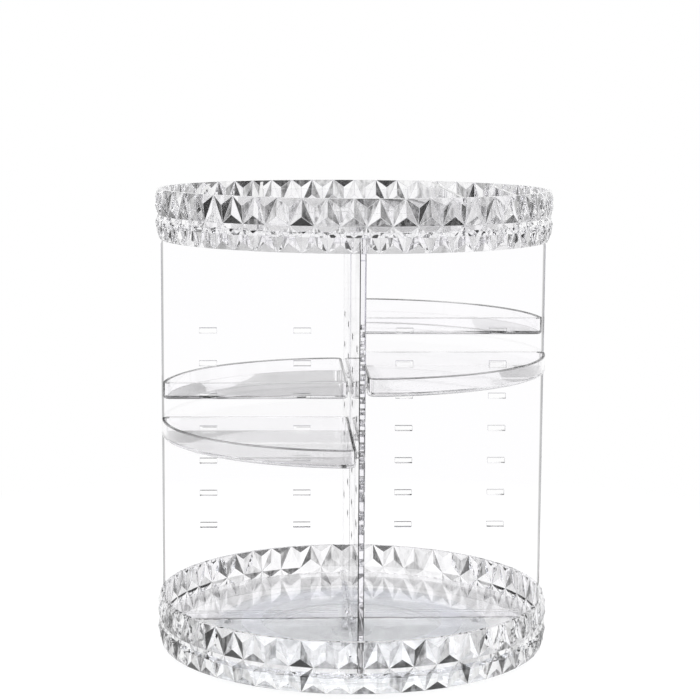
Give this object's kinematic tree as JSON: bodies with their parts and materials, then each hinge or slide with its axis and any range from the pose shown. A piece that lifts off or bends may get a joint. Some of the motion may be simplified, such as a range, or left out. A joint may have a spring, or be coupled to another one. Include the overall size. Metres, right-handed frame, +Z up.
{
  "type": "rotating cosmetics organizer",
  "caption": "Clear round carousel on a ball-bearing foot: trays with diamond-cut rims, crossing slotted panels, quarter shelves that pull out and a lift-off top tray with dividers.",
  "frame": {"origin": "on the table under the axis of rotation", "axes": "+Z up, front at -Y, +X to the right seen from the front"},
  "size_m": [0.23, 0.23, 0.27],
  "materials": {
    "clear_plastic": "clear, polished",
    "white_plastic": "satin, moulded",
    "pad_rubber": "soft matte",
    "ball_steel": "polished steel",
    "screw_steel": "zinc plated"
  },
  "bodies": {
    "foot": {"foot_plate": "white_plastic", "foot_pads": "pad_rubber"},
    "ball_ring": {"ball_cage": "white_plastic", "bearing_balls": "ball_steel"},
    "carousel": {"bearing_ring": "white_plastic", "ring_screws": "screw_steel", "pivot_screw": "screw_steel", "pivot_washer": "screw_steel", "base_tray": "clear_plastic", "panel_front_back": "clear_plastic", "panel_left_right": "clear_plastic"},
    "top": {"top_tray": "clear_plastic", "divider_left_outer": "clear_plastic", "divider_left_inner": "clear_plastic", "divider_right_inner": "clear_plastic", "divider_right_outer": "clear_plastic", "divider_cross": "clear_plastic"},
    "shelf_rear_right": {"shelf_rear_right": "clear_plastic"},
    "shelf_rear_left": {"shelf_rear_left": "clear_plastic"},
    "shelf_front_left": {"shelf_front_left": "clear_plastic"},
    "shelf_front_right": {"shelf_front_right": "clear_plastic"}
  },
  "joints": [
    {"name": "carousel_spin", "type": "hinge", "parent": "foot", "child": "carousel", "pos_m": [0, 0, 0.006], "axis": [0, 0, 1], "continuous": true},
    {"name": "ball_ring_spin", "type": "hinge", "parent": "foot", "child": "ball_ring", "pos_m": [0, 0, 0.006], "axis": [0, 0, 1], "continuous": true},
    {"name": "top_lift", "type": "slide", "parent": "carousel", "child": "top", "axis": [0, 0, 1], "range_m": [0, 0.06]},
    {"name": "shelf_rear_right_pull", "type": "slide", "parent": "carousel", "child": "shelf_rear_right", "axis": [0.7071, 0.7071, 0], "range_m": [0, 0.13]},
    {"name": "shelf_rear_left_pull", "type": "slide", "parent": "carousel", "child": "shelf_rear_left", "axis": [-0.7071, 0.7071, 0], "range_m": [0, 0.13]},
    {"name": "shelf_front_left_pull", "type": "slide", "parent": "carousel", "child": "shelf_front_left", "axis": [-0.7071, -0.7071, 0], "range_m": [0, 0.13]},
    {"name": "shelf_front_right_pull", "type": "slide", "parent": "carousel", "child": "shelf_front_right", "axis": [0.7071, -0.7071, 0], "range_m": [0, 0.13]}
  ],
  "couplings": [
    {"joint": "ball_ring_spin", "follows": "carousel_spin", "ratio": 0.5}
  ]
}
